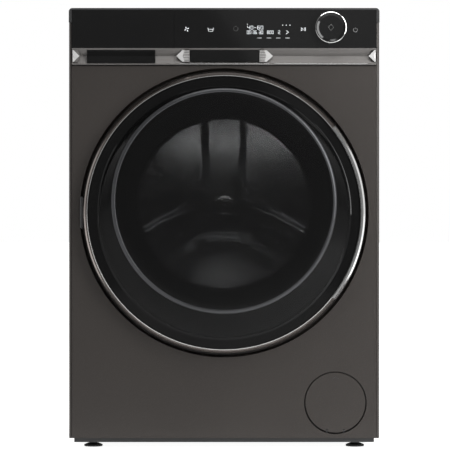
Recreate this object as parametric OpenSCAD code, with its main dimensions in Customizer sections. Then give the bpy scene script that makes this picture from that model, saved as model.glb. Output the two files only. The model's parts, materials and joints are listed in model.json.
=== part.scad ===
// Front load washing machine, as an assembly of separate pieces, in millimetres.
// +X is to the right seen from the front, +Y points to the back and +Z up.
// The origin is on the floor, in the middle of the overall width and depth.

/* [Cabinet] */
// Width of the cabinet
cabinet_w = 600; // [598:1:602]
// Height from the floor to the top of the worktop
cabinet_h = 850; // [848:1:854]
// Depth from the front of the door to the end of the water inlet
overall_d = 600; // [600:1:604]
// Thickness of the sheet steel
sheet = 1.2; // [1:0.1:1.4]
// Height of the base tray above the floor
base_z = 11; // [11:1:12]

/* [Door] */
// Height of the door's centre
door_z = 454.6; // [453:0.1:456]
// Radius of the round recess that the door closes into
recess_r = 279.5; // [279:0.1:280]
// Outer radius of the door
door_r = 270; // [269.6:0.1:270]
// Radius of the black rim of the window
window_r = 262.3; // [262:0.1:262.4]
// Radius of the raised front of the window
dome_r = 208; // [200:1:210]
// Height of the raised front's centre above the door's centre
dome_rise = 22.4; // [15:0.1:23]

/* [Tub and drum] */
// Height of the drum's axis
axis_z = 472; // [471:0.5:473]
// Outer radius of the drum
drum_r = 248; // [246:1:249]
// Outer radius of the tub
tub_r = 267; // [266:1:267]
// Thickness of the tub's plastic wall
tub_wall = 5; // [4:0.5:6]

/* [Controls] */
// Radius of the programme knob
knob_r = 30.3; // [26:0.1:31]
// Seam between the drawer front and the control glass, from the middle
seam_x = -96.9; // [-98:0.1:-95]
// Radius of the pump filter's round cover
cover_r = 58; // [56:0.5:58.4]

/* [Hidden] */
$fn = 96;

half_w = cabinet_w / 2;
y_front = -overall_d / 2;
y_end = overall_d / 2;
y_face = y_front + 48;         // face of the front panel
y_back = y_end - 15;           // outside of the rear wall
y_dish = y_face + 26;          // floor of the door recess
skirt_z = 19;                  // lower edge of the painted cabinet
shell_top = cabinet_h - 28;    // underside of the worktop
lip = 0.4;                     // seam between neighbouring covers
side_edge = 5;                 // visible front edge of each side wall
panel_x = half_w - side_edge - 0.7;
fascia_z = 739.5;              // lower edge of the control fascia
strip_z = 740.5;               // lower edge of the groove strip
strip_h = 32;
glass_z = strip_z + strip_h + 0.5;
glass_top = cabinet_h - 4;
y_glass = y_face - 4;          // front of the control glass
y_plate = y_glass + 5;         // back of the control glass
porthole_r = 190;
hinge = [-273.5, y_face - 14];
pin_r = 2;
run_gap = 0.03;                // running clearance of a hinge pin
latch = [236, y_dish - 20];
filter_at = [215, 87.3];
flap_at = [y_face + 1.2, filter_at[1] - 53.4];
knob_at = [205.8, 811.7];
foot_at = [[-255, -205], [255, -205], [-255, 240], [255, 240]];
tub_in = tub_r - tub_wall;
tub_y = [y_dish + 66, 20, 210];  // front wall, split line and rear wall of the tub
damper_at = [[-130, -130], [130, -130], [-130, 150], [130, 150]];
spring_at = [258, 100];
spring_z = [612.5, 800];
lifter_angles = [90, 210, 330];
sump_at = [60, 60];
tray_x = [-284, -107];
tray_z = [752, 812];

// A box between two opposite corners
module slab(a, b) {
    translate(a) cube(b - a);
}

// A cylinder along Y from y0 to y1, centred at x and z
module rod_y(r, y0, y1, x = 0, z = axis_z) {
    translate([x, y0, z]) rotate([-90, 0, 0]) cylinder(r = r, h = y1 - y0);
}

// A tube along Y
module tube_y(r_in, r_out, y0, y1, x = 0, z = axis_z) {
    difference() {
        rod_y(r_out, y0, y1, x, z);
        rod_y(r_in, y0 - 1, y1 + 1, x, z);
    }
}

// A cylinder along X from x0 to x1
module rod_x(r, x0, x1, y, z) {
    translate([x0, y, z]) rotate([0, 90, 0]) cylinder(r = r, h = x1 - x0);
}

// A cylinder along Z from z0 to z1
module rod_z(r, z0, z1, x, y) {
    translate([x, y, z0]) cylinder(r = r, h = z1 - z0);
}

// A profile of [radius, y] points turned about an axis along Y
module turn_y(points, x = 0, z = axis_z) {
    translate([x, 0, z]) rotate([-90, 0, 0]) rotate_extrude() polygon(points);
}

// Part of such a turned ring, from angle a to angle b, seen from the front
module arc_y(points, a, b, x = 0, z = axis_z) {
    translate([x, 0, z]) rotate([-90, 0, 0]) rotate([0, 0, -b])
        rotate_extrude(angle = b - a) polygon(points);
}

// An outline in front view, with z as its second coordinate, from y0 to y1
module front_view(y0, y1) {
    translate([0, y1, 0]) rotate([90, 0, 0]) linear_extrude(y1 - y0) children();
}

// A [y, z] outline extruded along X
module side_view(x0, x1) {
    translate([x0, 0, 0]) rotate([90, 0, 90]) linear_extrude(x1 - x0) children();
}

// A rectangle with round corners between two opposite corners
module round_rect(a, b, r) {
    translate([a[0] + r, a[1]]) square([b[0] - a[0] - 2 * r, b[1] - a[1]]);
    translate([a[0], a[1] + r]) square([b[0] - a[0], b[1] - a[1] - 2 * r]);
    for (x = [a[0] + r, b[0] - r], y = [a[1] + r, b[1] - r])
        translate([x, y]) circle(r);
}

// Direction along a path at point i
function heading(p, i) = let (a = p[max(i - 1, 0)], b = p[min(i + 1, len(p) - 1)])
    (b - a) / norm(b - a);

// A closed outline of thickness t along an open path of points
function ribbon(p, t) = concat(p, [for (i = [len(p) - 1:-1:0])
    let (d = heading(p, i)) p[i] + t * [-d[1], d[0]]]);

// A point on the smooth curve through four neighbouring points
function blend(a, b, c, d, t) = 0.5 * (2 * b + (c - a) * t + (2 * a - 5 * b + 4 * c - d) * t * t
    + (3 * b - a - 3 * c + d) * t * t * t);

// Points along the smooth curve through a route, n for each stretch
function smooth(p, n) = let (m = len(p) - 1) concat([for (i = [0:m - 1], k = [0:n - 1])
    blend(p[max(i - 1, 0)], p[i], p[i + 1], p[min(i + 2, m)], k / n)], [p[m]]);

// Directions square to a path, one for each point from i on, carried along it without twist from u
function carry(p, i, u) = i == len(p) ? []
    : let (d = heading(p, i), w = u - (u * d) * d, n = w / norm(w)) concat([n], carry(p, i + 1, n));

// A round bar of radius r swept along a path, as one closed mesh
module sweep(path, r, sides) {
    last = len(path) - 1;
    sideways = carry(path, 0, abs(heading(path, 0)[2]) > 0.8 ? [1, 0, 0] : [0, 0, 1]);
    rings = [for (i = [0:last]) let (u = sideways[i], v = cross(heading(path, i), u))
        for (k = [0:sides - 1])
            path[i] + r * (cos(360 * k / sides) * u + sin(360 * k / sides) * v)];
    walls = [for (i = [0:last - 1], k = [0:sides - 1])
        let (a = i * sides + k, b = i * sides + (k + 1) % sides) [a, a + sides, b + sides, b]];
    ends = [[for (k = [0:sides - 1]) k], [for (k = [sides - 1:-1:0]) last * sides + k]];
    polyhedron(rings, concat(walls, ends));
}

// ---------------------------------------------------------------- cabinet

// Plan of the cabinet wall, grown inwards by t
module wall_plan(t) {
    round_rect([-half_w + t, y_face + t], [half_w - t, y_back - t], 6 - t);
}

module cabinet_shell() color("#4b4543") {
    difference() {
        translate([0, 0, skirt_z]) linear_extrude(shell_top - skirt_z) difference() {
            wall_plan(0);
            wall_plan(sheet);
        }
        slab([-half_w + side_edge, y_face - 1, 0], [half_w - side_edge, y_face + 10, cabinet_h]);
        slab([-200, y_back - 10, 130], [200, y_back + 1, 640]);
        rod_y(15, y_back - 10, y_back + 1, 200, 785);
        rod_y(11.2, y_back - 10, y_back + 1, -235, 740);
        rod_y(12.2, y_back - 10, y_back + 1, 270, 760);
        screw_holes();
    }
    for (side = [-1, 1]) mirror([side < 0 ? 1 : 0, 0, 0])
        slab([246, spring_at[1] - 9, spring_z[1]], [half_w - sheet, spring_at[1] + 9, spring_z[1] + 6]);
}

module rear_cover() color("#9a9c9e") {
    difference() {
        union() {
            slab([-212, y_back, 118], [212, y_back + sheet, 652]);
            slab([-180, y_back, 160], [180, y_back + 7, 610]);
        }
        slab([-180 + sheet, y_back - 1, 160 + sheet], [180 - sheet, y_back + 7 - sheet, 610 - sheet]);
        for (z = [230:60:530]) for (x = [-90, 0, 90])
            front_view(y_back - 1, y_back + 9) round_rect([x - 30, z - 3], [x + 30, z + 3], 2.9);
        screw_holes();
    }
}

// Screw places around the rear cover
module at_rear_screws() {
    for (x = [-206, 206]) for (z = [124, 260, 385, 510, 646]) translate([x, 0, z]) children();
    for (x = [-70, 70]) for (z = [124, 646]) translate([x, 0, z]) children();
}

module screw_holes() {
    at_rear_screws() rod_y(2.2, y_back - 9, y_back + 9, 0, 0);
}

module rear_screws() color("#b9bbbd") {
    at_rear_screws() {
        rod_y(2.1, y_back - 5, y_back + sheet + 0.5, 0, 0);
        difference() {
            rod_y(4.8, y_back + sheet + 0.02, y_back + sheet + 3, 0, 0);
            slab([-3.5, y_back + sheet + 2, -0.5], [3.5, y_back + sheet + 4, 0.5]);
            slab([-0.5, y_back + sheet + 2, -3.5], [0.5, y_back + sheet + 4, 3.5]);
        }
    }
}

module base_tray() color("#1d1d1e") {
    floor_t = 2.5;
    difference() {
        union() {
            difference() {
                slab([-290, y_face + 5, base_z], [290, y_back - 4, 45]);
                slab([-287, y_face + 8, base_z + floor_t], [287, y_back - 7, 46]);
            }
            difference() {
                slab([-298.6, y_face + 5, skirt_z], [298.6, y_back - 6.2, skirt_z + 2.5]);
                slab([-289, y_face + 6, skirt_z - 1], [289, y_back - 8, skirt_z + 4]);
            }
            for (p = foot_at) rod_z(14, base_z, 40, p[0], p[1]);
            for (x = [-60, 60]) slab([x - 1.5, y_face + 6, base_z], [x + 1.5, y_back - 5, 34]);
        }
        for (p = foot_at) rod_z(5, base_z - 1, 41, p[0], p[1]);
        rod_y(67.4, y_face + 1, y_dish + 1, filter_at[0], filter_at[1]);
    }
}

// A levelling foot, screwed into the base tray
module foot(i) color("#202022") {
    translate([foot_at[i][0], foot_at[i][1], 0]) rotate_extrude()
        polygon([[0, 0], [17, 0], [18, 1], [18, 3.5], [11, 6.5], [8, 7], [8, base_z - 0.3],
            [4.95, base_z - 0.3], [4.95, 37], [4.2, 38], [0, 38]]);
}

module front_panel() color("#4b4543") {
    back = y_face + sheet;
    dish_r = recess_r - 3.5;
    difference() {
        union() {
            slab([-panel_x, y_face, skirt_z], [panel_x, back, fascia_z - 1]);
            for (side = [-1, 1]) mirror([side < 0 ? 1 : 0, 0, 0])
                slab([panel_x - sheet, y_face, skirt_z], [panel_x, y_face + 3.8, fascia_z - 1]);
            slab([-panel_x, y_face, fascia_z - 1 - sheet], [panel_x, y_face + 12, fascia_z - 1]);
        }
        rod_y(recess_r, y_face - 1, y_face + 13, 0, door_z);
        rod_y(60.4, y_face - 1, back + 1, filter_at[0], filter_at[1]);
    }
    turn_y([[recess_r, y_face], [recess_r + sheet, y_face], [dish_r + sheet, y_dish],
        [dish_r, y_dish]], 0, door_z);
    difference() {
        rod_y(dish_r + sheet, y_dish, y_dish + sheet, 0, door_z);
        rod_y(porthole_r, y_dish - 1, y_dish + 2, 0, axis_z);
        slab([220, y_dish - 1, door_z - 11], [252, y_dish + 2, door_z + 11]);
    }
    tube_y(porthole_r - sheet, porthole_r, y_dish, y_dish + 12);
}

module worktop() color("#1f1f20") {
    difference() {
        front_view(y_face + 16.3, y_back)
            round_rect([-half_w, shell_top - 20], [half_w, cabinet_h], 7);
        slab([-half_w - 1, y_face, shell_top - 30], [half_w + 1, y_back + 1, shell_top]);
    }
}

// ---------------------------------------------------------------- controls

module fascia_frame() color("#19191a") {
    rim_z = shell_top + lip;
    difference() {
        union() {
            slab([-panel_x + 0.1, y_plate, fascia_z], [panel_x - 0.1, y_face + 16, rim_z + 2]);
            difference() {
                front_view(y_glass, y_face + 16)
                    round_rect([-half_w, rim_z - 20], [half_w, cabinet_h], 7);
                slab([-half_w - 1, y_face - 9, rim_z - 30], [half_w + 1, y_face + 20, rim_z]);
                slab([-panel_x, y_glass - 1, rim_z - 1], [panel_x, y_plate, glass_top + lip]);
            }
        }
        // bay for the display board behind the glass
        slab([-88, y_plate - 1, 780], [288, y_face + 13, 840]);
        // bay for the groove strip
        slab([seam_x, y_plate - 1, strip_z - 0.2], [half_w, y_glass + 14.2, strip_z + strip_h + 0.2]);
        // bay for the drawer front, and the way through for its tray
        slab([-half_w + 5.2, y_plate - 2, fascia_z - 1], [seam_x + 0.2, y_face + 12.6, glass_top + lip]);
        slab([tray_x[0] - 5, y_plate, tray_z[0] - 5], [tray_x[1] + 5, y_face + 17, tray_z[1] + 5]);
    }
}

module control_glass() color("#0b0b0c") {
    difference() {
        slab([seam_x + lip, y_glass, glass_z], [panel_x - 0.4, y_plate, glass_top]);
        rod_y(6, y_glass - 1, y_plate + 1, knob_at[0], knob_at[1]);
    }
}

// Section of the silver strip: a shallow groove with a dark bottom line
function groove(z0) = [[y_glass, z0 + strip_h], [y_glass + 1, z0 + 29], [y_glass + 5, z0 + 22.5],
    [y_glass + 9, z0 + 17.5], [y_glass + 5.5, z0 + 9.5], [y_glass + 1.5, z0 + 2.5],
    [y_glass, z0 + 1.3], [y_glass, z0], [y_glass + 14, z0], [y_glass + 14, z0 + strip_h]];

// Outline of a cut-glass facet that points away from x0 towards x1
module facet_outline(x0, x1) {
    mid = strip_z + 18.3;
    shoulder = x0 + (x1 - x0) * 0.66;
    polygon([[x0, strip_z + 5.5], [shoulder, strip_z + 5.5], [x1, mid], [shoulder, strip_z + 28.5],
        [x0, strip_z + 28.5]]);
}

module facet_outlines() {
    facet_outline(-66.9, -92.6);
    facet_outline(67.5, 92.8);
    facet_outline(292.6, 279.3);
}

module badge_outline() {
    translate([-65.5, strip_z + 5.9]) square([132.7, 22.1]);
}

module fascia_strip() color("#8d8d8f") {
    difference() {
        side_view(seam_x + lip, panel_x - 0.4) polygon(groove(strip_z));
        front_view(y_glass - 1, y_glass + 10.5) {
            translate([-67.6, strip_z + 5.5]) square([135.3, 23]);
            facet_outlines();
        }
    }
}

module strip_facets() color("#c9cacc") {
    front_view(y_glass - 0.5, y_glass + 10.5) facet_outlines();
}

module badge_plate() color("#121213") {
    front_view(y_glass - 0.8, y_glass + 10.5) badge_outline();
}

module program_knob() color("#0e0e0f") {
    turn_y([[0, y_glass - 11], [knob_r - 7, y_glass - 11], [knob_r - 3, y_glass - 12.5],
        [knob_r - 2.1, y_glass - 12.5], [knob_r - 2.1, y_glass - 0.4], [5.9, y_glass - 0.4],
        [5.9, y_glass + 11], [0, y_glass + 11]], knob_at[0], knob_at[1]);
}

module knob_ring() color("#b6b7b9") {
    turn_y([[knob_r - 2, y_glass - 0.4], [knob_r - 2, y_glass - 13], [knob_r - 1.3, y_glass - 14],
        [knob_r - 0.4, y_glass - 13.6], [knob_r, y_glass - 12.6], [knob_r, y_glass - 0.4]],
        knob_at[0], knob_at[1]);
}

module control_box() color("#d8d8d6") {
    slab([120, -215, 772], [half_w - sheet, -70, 800]);
    slab([126, -209, 800], [288, -76, 812]);
    for (x = [135:24:255]) slab([x, -70, 776], [x + 16, -58, 792]);
}

// ---------------------------------------------------------------- detergent drawer

module drawer_front() color("#0b0b0c") {
    slab([-panel_x + 0.4, y_glass, glass_z], [seam_x, y_plate, glass_top]);
    slab([-panel_x + 3, y_plate, glass_z], [seam_x - 3, y_face + 12, glass_top - 3]);
}

module drawer_strip() color("#8d8d8f") {
    difference() {
        side_view(-panel_x + 0.4, seam_x) polygon(groove(strip_z));
        slab([-265, y_glass - 1, strip_z + 3.5], [-133, y_glass + 15, strip_z + 28.5]);
    }
    front_view(y_glass, y_glass + 10) facet_outline(-292.4, -278);
}

module drawer_pull() color("#121213") {
    a = [-264.9, strip_z + 3.6];
    b = [-133.1, strip_z + 28.4];
    difference() {
        slab([a[0], y_glass + 0.3, a[1]], [b[0], y_glass + 15.7, b[1]]);
        slab([a[0] + 1.5, y_glass - 1, a[1] + 1.5], [b[0] - 1.5, y_glass + 14, b[1] - 1.5]);
    }
    slab([a[0] + 1, y_glass + 1.5, a[1] + 1], [b[0] - 1, y_glass + 3.5, a[1] + 13]);
}

module drawer_tray() color("#d9dad8") {
    wall = 2;
    divide = [tray_x[0] + 66, tray_x[0] + 118];
    difference() {
        slab([tray_x[0], y_face + 12, tray_z[0]], [tray_x[1], 58, tray_z[1]]);
        slab([tray_x[0] + wall, y_face + 24, tray_z[0] + wall], [divide[0], 56, tray_z[1] + 1]);
        slab([divide[0] + wall, y_face + 24, tray_z[0] + 12], [divide[1], 56, tray_z[1] + 1]);
        slab([divide[1] + wall, y_face + 24, tray_z[0] + 12], [tray_x[1] - wall, 56, tray_z[1] + 1]);
        slab([tray_x[0] + 4, y_face + 11.5, tray_z[0] - 1], [tray_x[1] - 4, y_face + 22, tray_z[1] - 12]);
    }
}

module dispenser_housing() color("#c4c6c5") {
    a = [-291, y_face + 16.4, 746];
    b = [-98, 72, 820];
    spout = [-190, 40];
    difference() {
        union() {
            slab(a, b);
            rod_z(14, 738, 747, spout[0], spout[1]);
            rod_x(7, b[0] - 1, b[0] + 8, 50, 800);
        }
        slab(a + [2, -1, 2], b - [2, 2, 2]);
        rod_z(11, 737, 750, spout[0], spout[1]);
    }
}

// ---------------------------------------------------------------- water and power

module inlet_valve() color("#e2e2e0") {
    rod_y(13.2, y_back + 3, y_end, 200, 785);
    rod_y(20, y_back, y_back + 3, 200, 785);
    rod_y(14.5, y_back - 40, y_back, 200, 785);
    slab([180, y_back - 62, 770], [220, y_back - 22, 806]);
    rod_y(6, y_back - 70, y_back - 60, 190, 792);
}

// Route of the pipe from the inlet valve to the dispenser
inlet_route = [[190, 211, 792], [187, 203, 796], [170, 196, 804], [120, 196, 808], [40, 198, 809],
    [-30, 190, 809], [-60, 150, 808], [-64, 100, 805], [-68, 62, 801], [-76, 51, 800], [-86, 50, 800]];

module inlet_hose() color("#3a3a3c") {
    sweep(smooth(inlet_route, 3), 7, 8);
    rod_y(8.5, 206, 214.9, 190, 792);
    rod_x(8.5, -89.8, -81, 50, 800);
}

module fill_hose() color("#2a2a2b") {
    difference() {
        union() {
            rod_z(18, 703, 744, -190, 40);
            for (z = [706:8:738]) rod_z(20.5, z, z + 3, -190, 40);
        }
        rod_z(14.4, 702, 745, -190, 40);
    }
}

module power_gland() color("#1a1a1b") {
    turn_y([[4.5, y_back - 4], [11, y_back - 4], [11, y_back], [16, y_back], [16, y_back + 3],
        [9, y_back + 12], [4.5, y_back + 12]], -235, 740);
}

module drain_outlet() color("#2a2a2b") {
    turn_y([[7.5, y_back - 5], [12, y_back - 5], [12, y_back], [15, y_back], [15, y_back + 2.5],
        [10, y_back + 2.5], [10, y_end - 1], [7.5, y_end - 1]], 270, 760);
}

// Route of the drain pipe from the pump to the outlet at the back
drain_route = [[269, -75, 87.3], [275, -73, 84], [281, -62, 74], [282, -30, 64], [282, 60, 60],
    [282, 170, 62], [281, 230, 70], [278, 252, 95], [276, 258, 150], [276, 258, 300],
    [276, 258, 450], [276, 258, 600], [276, 257, 700], [274, 256, 738], [271, 260, 754],
    [270, 268, 760], [270, 276, 760]];

module drain_hose() color("#2a2a2b") {
    sweep(smooth(drain_route, 2), 10, 8);
    rod_x(13, 265.2, 273, -75, 87.3);
    rod_y(12, 270, 279.8, 270, 760);
}

module sump_hose() color("#2a2a2b") {
    route = [[60, 60, 122], [60, 58, 108], [66, 46, 94], [84, 22, 88], [106, -20, 87],
        [126, -62, 87], [142, -94, 87.2], [158, -108, 87.3], [170, -110, 87.3]];
    difference() {
        rod_z(24, 121, 168, sump_at[0], sump_at[1]);
        rod_z(20.4, 126, 169, sump_at[0], sump_at[1]);
    }
    sweep(smooth(route, 3), 17, 10);
    rod_x(20, 165, 174.8, -110, 87.3);
}

// ---------------------------------------------------------------- drain pump

// The two ears at the bottom of the filter frame that hold the cover's pin
module at_flap_ears() {
    for (x = [-18, 15]) translate([filter_at[0] + x, 0, 0]) children();
}

module filter_frame() color("#232324") {
    at = filter_at;
    difference() {
        union() {
            tube_y(64, 67, y_face + sheet, y_dish, at[0], at[1]);
            tube_y(36, 66, y_dish - 2, y_dish, at[0], at[1]);
            at_flap_ears() {
                rod_x(1.8, 0, 3, flap_at[0], flap_at[1]);
                slab([0, flap_at[0] + 0.2, at[1] - 62.7], [3, flap_at[0] + 7, flap_at[1] + 1.8]);
            }
        }
        rod_x(0.8 + run_gap, at[0] - 30, at[0] + 30, flap_at[0], flap_at[1]);
    }
}

module filter_cover() color("#4b4543") {
    at = filter_at + [0, 0.6];
    difference() {
        union() {
            rod_y(cover_r, y_face - 0.4, y_face + 2.2, at[0], at[1]);
            tube_y(44, 46, y_face + 2.2, y_face + 5, at[0], at[1]);
        }
        at_flap_ears() slab([-0.4, y_face - 1, at[1] - 60], [3.4, y_face + 3, flap_at[1] + 2.2]);
        // finger mark near the top edge
        front_view(y_face - 1, y_face + 0.2) translate([at[0], at[1] + cover_r - 9])
            polygon([[-6, -3], [-4.6, -3], [0, 1.6], [4.6, -3], [6, -3], [0, 3]]);
    }
    rod_x(0.8, at[0] - 20, at[0] + 20, flap_at[0], flap_at[1]);
}

module pump_filter() color("#2d2d2f") {
    turn_y([[0, y_dish - 8], [33, y_dish - 8], [34, y_dish - 6], [34, y_dish - 0.1],
        [29.6, y_dish - 0.1], [29.6, y_dish + 22], [27, y_dish + 24], [27, y_dish + 112],
        [0, y_dish + 112]], filter_at[0], filter_at[1]);
    front_view(y_dish - 19, y_dish - 7)
        round_rect([filter_at[0] - 27, filter_at[1] - 6], [filter_at[0] + 27, filter_at[1] + 6], 5);
}

module pump_housing() color("#38393b") {
    x = filter_at[0];
    z = filter_at[1];
    difference() {
        union() {
            rod_y(35, y_dish + 0.2, y_face + 162, x, z);
            rod_y(38, y_face + 160, y_face + 192, x, z);
            rod_y(30, y_face + 190, y_face + 250, x, z);
            rod_x(18, 175, 195, -110, z);
            rod_x(11, x + 30, x + 50, -75, z);
            slab([x - 20, -180, base_z + 2.5], [x + 20, -60, z - 30]);
        }
        rod_y(30, y_dish - 1, y_face + 158, x, z);
        rod_y(12, y_face + 150, y_face + 170, x, z);
        rod_y(33, y_face + 163, y_face + 188, x, z);
        rod_y(3.05, y_face + 180, y_face + 215, x, z);
    }
}

module pump_impeller() color("#e6e6e4") {
    x = filter_at[0];
    z = filter_at[1];
    rod_y(3, y_face + 170, y_face + 212, x, z);
    rod_y(26, y_face + 180, y_face + 183, x, z);
    rod_y(8, y_face + 166, y_face + 182, x, z);
    for (a = [0:60:300]) translate([x, 0, z]) rotate([0, a, 0])
        slab([6, y_face + 168, -1.2], [25, y_face + 181, 1.2]);
}

// ---------------------------------------------------------------- suspension

// A point of the spring's wire at turn t, which winds out from the axis over its first half turn and
// back in over its last
function coil_point(r, turns, z0, z1, t) = let (e = min(t, turns - t, 0.5) * 2,
    s = r * e * e * (3 - 2 * e)) [s * cos(360 * t), s * sin(360 * t), z0 + (z1 - z0) * t / turns];

// Wire path of one suspension spring, straight at both ends
function spring_path(r, turns, z0, z1) = concat([[0, 0, z0]],
    [for (i = [0:12 * turns]) coil_point(r, turns, z0 + 6, z1 - 6, i / 12)], [[0, 0, z1]]);

module suspension_springs() color("#85878a") {
    for (side = [-1, 1]) translate([side * spring_at[0], spring_at[1], 0])
        sweep(spring_path(13, 10, spring_z[0], spring_z[1]), 2.2, 6);
}

module damper_cylinders() color("#2e2e30") {
    for (p = damper_at) difference() {
        union() {
            rod_z(13, base_z + 2.5, 150, p[0], p[1]);
            rod_z(16, 140, 150, p[0], p[1]);
            slab([p[0] - 18, p[1] - 14, base_z + 2.5], [p[0] + 18, p[1] + 14, 26]);
        }
        rod_z(8, 80, 151, p[0], p[1]);
    }
}

module damper_rods() color("#9c9ea1") {
    for (p = damper_at) {
        rod_z(5, 100, 215, p[0], p[1]);
        rod_z(7.6, 96, 112, p[0], p[1]);
    }
}

// ---------------------------------------------------------------- tub

// The lug under the tub that takes a damper rod
module damper_lug(p) {
    slab([p[0] - 9, p[1] - 9, 215], [p[0] + 9, p[1] + 9, 250]);
}

module tub_front() color("#c9cbca") {
    front = tub_y[0];
    difference() {
        union() {
            rod_y(tub_r, front, tub_y[1]);
            rod_y(tub_r + 9, tub_y[1] - 8, tub_y[1]);
            rod_y(197, front - 10, front + 1);
            damper_lug(damper_at[0]);
            damper_lug(damper_at[1]);
        }
        rod_y(tub_in, front + 5, tub_y[1] + 1);
        rod_y(192, front - 11, front + 6);
    }
}

module tub_rear() color("#c9cbca") {
    back = tub_y[2];
    difference() {
        union() {
            rod_y(tub_r, tub_y[1], back);
            rod_y(tub_r + 9, tub_y[1], tub_y[1] + 8);
            rod_y(46, back - 1, back + 36);
            for (a = [0:30:330]) translate([0, 0, axis_z]) rotate([0, a, 0])
                slab([140, back - 1, -2], [tub_r - 3, back + 10, 2]);
            slab([-70, 34, 180], [90, 195, 240]);
            rod_z(20, 150, 181, sump_at[0], sump_at[1]);
            damper_lug(damper_at[2]);
            damper_lug(damper_at[3]);
            for (side = [-1, 1]) mirror([side < 0 ? 1 : 0, 0, 0])
                slab([250, spring_at[1] - 8, 490], [266, spring_at[1] + 8, spring_z[0] - 0.4]);
            rod_z(14, 640, 722, -190, 40);
        }
        rod_y(tub_in, tub_y[1] - 1, back - tub_wall);
        slab([-66, 38, 184], [86, 191, 230]);
        rod_z(17, 149, 190, sump_at[0], sump_at[1]);
        rod_z(11, 630, 723, -190, 40);
        rod_y(31.05, back - 10, back + 14);
        rod_y(26.05, back + 13, back + 37);
        for (x = [0, 40]) rod_y(4.6, 190, 196, x, 197);
    }
}

module front_counterweight() color("#8f8e8a") {
    section = [[204, tub_y[0] - 44], [262, tub_y[0] - 44], [262, tub_y[0]], [204, tub_y[0]]];
    arc_y(section, 25, 155);
    arc_y(section, 205, 335);
}

module top_counterweight() color("#8f8e8a") {
    difference() {
        slab([-40, 42, 690], [150, 180, 788]);
        rod_y(tub_r + 0.1, 0, 200);
    }
}

module heater() color("#a9abad") {
    z = 197;
    for (x = [0, 40]) rod_y(4.5, 66, 209, x, z);
    translate([20, 66, z]) rotate([0, 0, 180]) rotate_extrude(angle = 180)
        translate([20, 0]) circle(4.5);
    slab([-8, 195.1, z - 9], [48, 199, z + 6]);
}

module stator() color("#a4643a") {
    back = tub_y[2];
    tube_y(84, 92, back + 10.1, back + 32);
    for (a = [0:15:345]) translate([0, 0, axis_z]) rotate([0, a, 0]) {
        slab([90, back + 12, -4], [119, back + 30, 4]);
    }
}

module bearings() color("#c3c5c7") {
    back = tub_y[2];
    tube_y(15.05, 31, back - 4, back + 13);
    tube_y(12.55, 26, back + 20, back + 35);
}

// ---------------------------------------------------------------- drum

module drum_shell() color("#c6c8ca") {
    turn_y(ribbon([[191, -142], [193, -148], [198, -151], [208, -151], [228, -149], [239, -145],
        [246, -138], [drum_r, -128], [drum_r, 178]], sheet));
}

// The three-armed star pressed into the drum's back, from y0 to y1, drawn in by t
module star(y0, y1, t) {
    half = [[0, 42], [60, 30], [120, 34], [180, 46], [222, 52]];
    for (a = lifter_angles) translate([0, 0, axis_z]) rotate([0, 90 - a, 0]) front_view(y0, y1)
        polygon(concat([for (p = half) [t - p[1], min(p[0], 222 - t)]],
            [for (i = [len(half) - 1:-1:0]) [half[i][1] - t, min(half[i][0], 222 - t)]]));
    rod_y(56 - t, y0 - 3, y1);
}

module drum_back() color("#c6c8ca") {
    difference() {
        union() {
            rod_y(drum_r - sheet - 0.2, 176, 178);
            star(169, 177, 0);
        }
        star(170.5, 179, 1.5);
    }
}

// Section of a lifter, drawn in by t
module lifter_section(t) {
    polygon([[t - 34, 262], [t - 12, 204], [12 - t, 204], [34 - t, 262]]);
    translate([0, 206]) circle(12.2 - t);
}

module drum_lifters() color("#d4d6d8") {
    for (a = lifter_angles) translate([0, 0, axis_z]) rotate([0, 90 - a, 0]) difference() {
        intersection() {
            front_view(-122, 164) lifter_section(0);
            rod_y(drum_r - sheet - 0.3, -130, 170, 0, 0);
        }
        front_view(-120.5, 162.5) lifter_section(1.5);
    }
}

module drum_spider() color("#9a9c9f") {
    for (a = lifter_angles) translate([0, 0, axis_z]) rotate([0, 90 - a, 0])
        front_view(178.2, 194) polygon([[-24, 0], [-13, 236], [13, 236], [24, 0]]);
    rod_y(34, 178.2, 201);
    rod_y(15, 200, 224);
    rod_y(12.5, 223, 264);
    translate([0, 263, axis_z]) rotate([-90, 0, 0]) cylinder(r = 16, h = 8, $fn = 6);
}

module rotor() color("#6f7275") {
    turn_y([[12.6, 248], [24, 248], [24, 256], [121, 256], [121, 222], [130, 222], [132, 224],
        [132, 257], [130, 259], [26, 259], [26, 262], [12.6, 262]]);
}

// ---------------------------------------------------------------- door

module door_bezel() color("#55504e") {
    difference() {
        union() {
            turn_y([[window_r + 0.3, y_face - 24], [264, y_face - 25], [267, y_face - 25],
                [door_r, y_face - 21], [door_r, y_face + 14], [266.5, y_face + 14],
                [266.5, y_face - 18], [window_r + 0.3, y_face - 18]], 0, door_z);
            slab([-266.9, hinge[1] - 3, door_z - 11.5], [-262.5, hinge[1] + 3, door_z + 11.5]);
        }
        slab([-280, y_face - 19.5, door_z - 34], [-268.8, y_face + 20, door_z + 34]);
    }
    difference() {
        union() {
            rod_z(4, door_z - 11.5, door_z + 11.5, hinge[0], hinge[1]);
            slab([hinge[0], hinge[1] - 3, door_z - 11.5], [-266.6, hinge[1] + 3, door_z + 11.5]);
        }
        rod_z(pin_r + run_gap, door_z - 12, door_z + 12, hinge[0], hinge[1]);
    }
}

module door_grip() color("#bfc0c2") {
    arc_y([[window_r + 0.8, y_face - 25.1], [264, y_face - 27.2], [268, y_face - 27.2],
        [271.4, y_face - 22.5], [271.4, y_face - 12], [door_r + 0.1, y_face - 12],
        [door_r + 0.1, y_face - 21], [267, y_face - 25.1]], -38, 38, 0, door_z);
}

// A thin disc of radius r, used to span the window's dome
module dome_disc(r, y, z) {
    rod_y(r, y, y + 0.1, 0, z, $fn = 64);
}

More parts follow.
